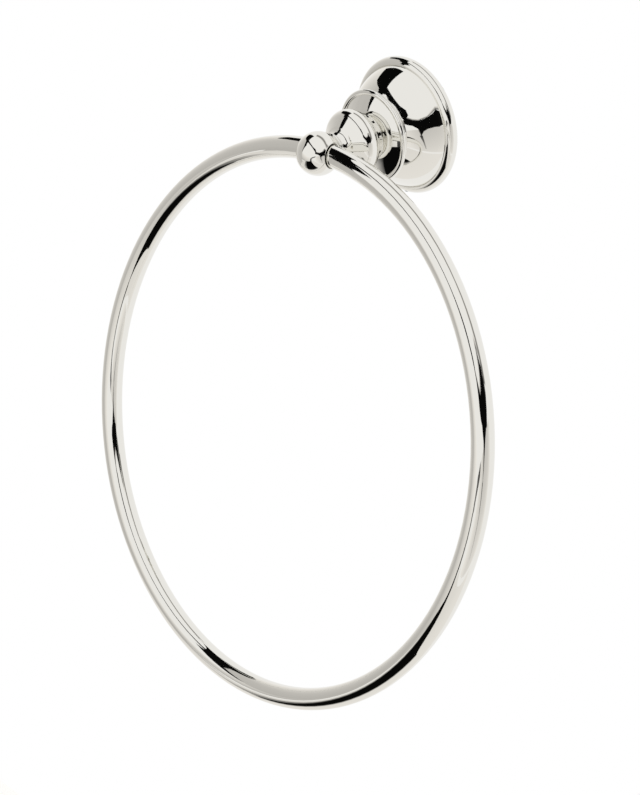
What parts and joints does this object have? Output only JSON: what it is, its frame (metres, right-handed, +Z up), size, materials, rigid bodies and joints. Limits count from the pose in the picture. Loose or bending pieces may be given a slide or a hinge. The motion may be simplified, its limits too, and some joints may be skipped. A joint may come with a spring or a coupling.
{
  "type": "towel ring",
  "caption": "Wall-mounted towel ring: a stepped bell rosette carries a turned baluster post whose cross-drilled ball holds a large round tube ring that swings.",
  "frame": {"origin": "centre of the rosette's back, on the wall's face", "axes": "+X to the right along the wall, +Y into the wall, +Z up; the towel ring stands out along -Y and hangs down along -Z"},
  "size_m": [0.232, 0.1431, 0.2479],
  "materials": {
    "nickel": "polished nickel plate on brass",
    "steel": "zinc plated steel",
    "zinc": "zinc casting, as cast and tumbled",
    "nylon": "moulded nylon"
  },
  "bodies": {
    "wall_mount": {"wall_plugs": "nylon", "wall_screws": "steel", "wall_bracket": "zinc", "rosette": "nickel", "grub_screw": "steel", "post": "nickel", "spring_washer": "steel", "post_nut": "steel"},
    "towel_ring": {"ring": "nickel", "ring_dowel": "steel"}
  },
  "joints": [
    {"name": "ring_swing", "type": "hinge", "parent": "wall_mount", "child": "towel_ring", "pos_m": [0, -0.04896, 0], "axis": [1, 0, 0], "range_deg": [-176.3, 26.3]}
  ]
}
